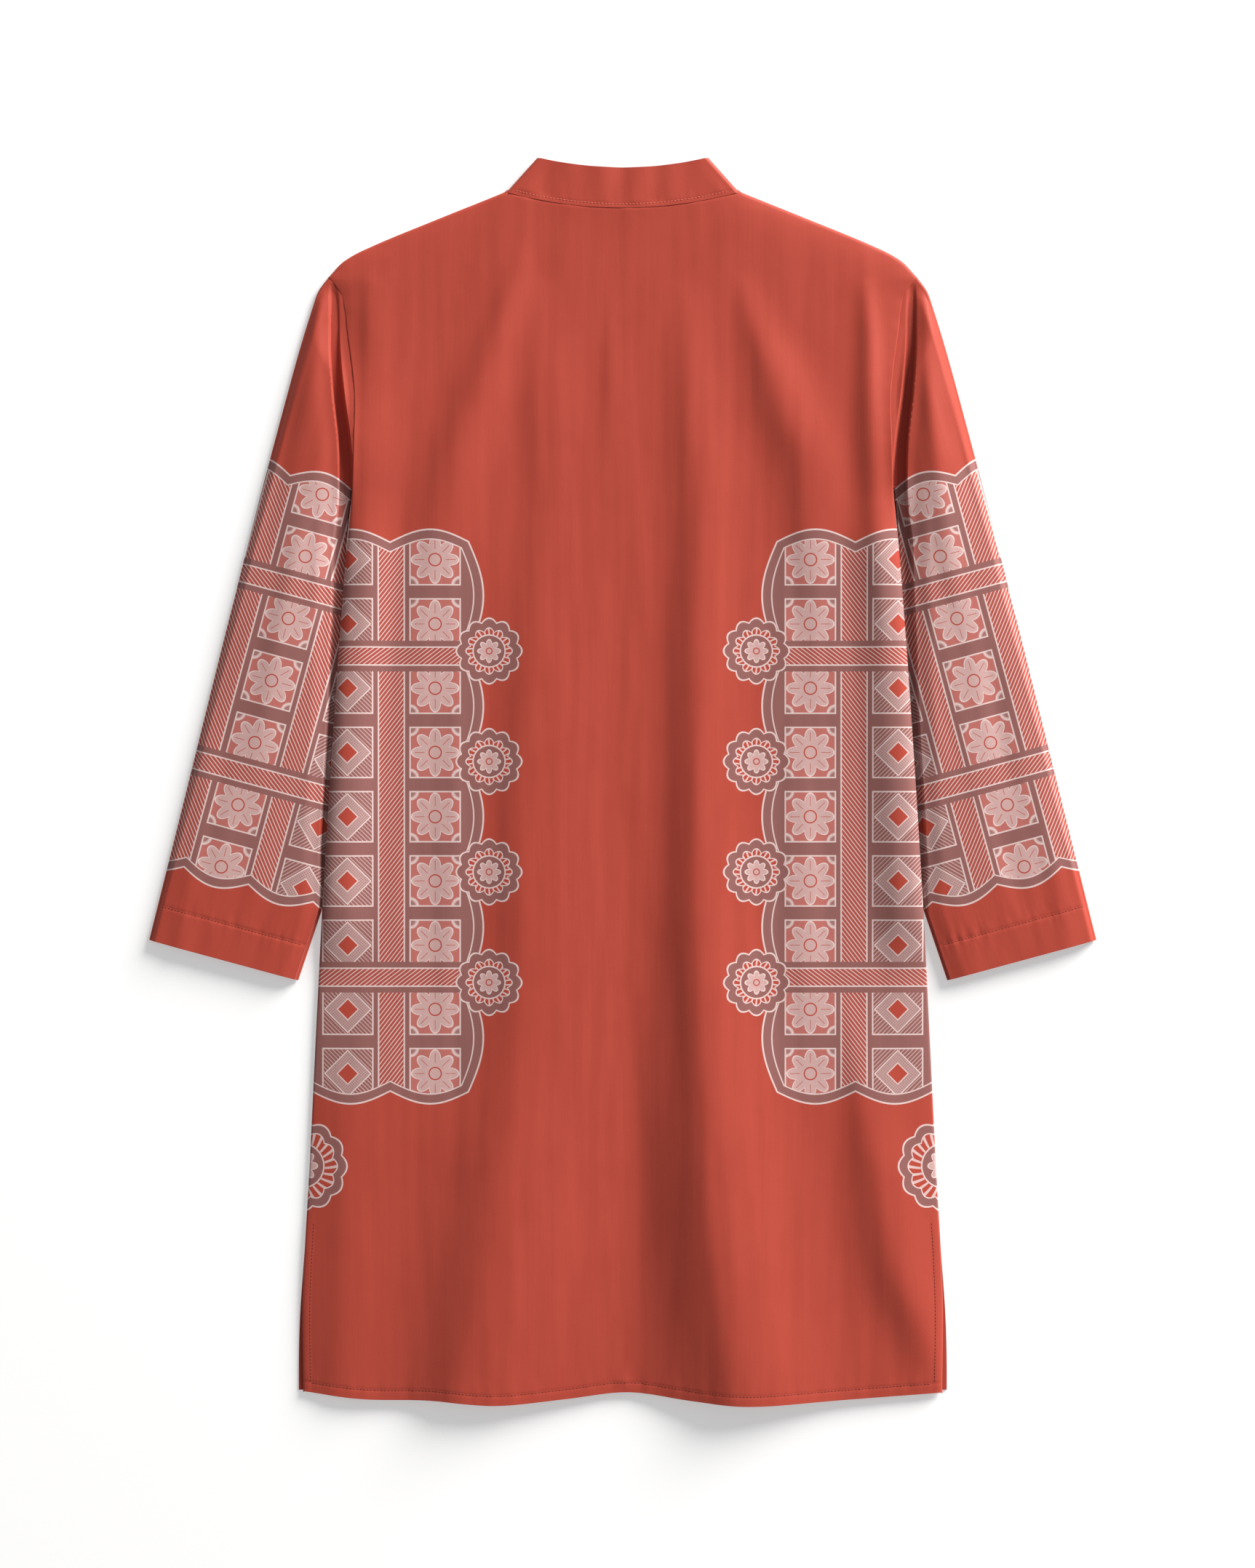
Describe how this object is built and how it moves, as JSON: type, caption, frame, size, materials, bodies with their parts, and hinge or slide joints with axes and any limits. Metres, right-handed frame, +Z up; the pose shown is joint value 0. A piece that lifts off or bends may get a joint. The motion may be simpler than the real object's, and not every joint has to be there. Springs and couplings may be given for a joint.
{
  "type": "kurta, laid flat with its back up",
  "caption": "Long terracotta tunic with a band collar, three-quarter sleeves and side slits, laid flat with its back up.",
  "frame": {"origin": "on the surface that the garment lies on, under the middle of its outline", "axes": "+X across the garment to the wearer's right, +Y from the hem to the collar, +Z up off the surface"},
  "size_m": [0.7382, 0.9708, 0.0206],
  "materials": {
    "body_cloth": "smooth satin-faced cotton",
    "sleeve_cloth": "smooth satin-faced cotton",
    "collar_cloth": "two fused layers of satin-faced cotton"
  },
  "bodies": {
    "root": {"back_panel": "body_cloth", "front_panel": "body_cloth", "sleeve_left": "sleeve_cloth", "sleeve_right": "sleeve_cloth", "collar_band": "collar_cloth"}
  },
  "joints": []
}
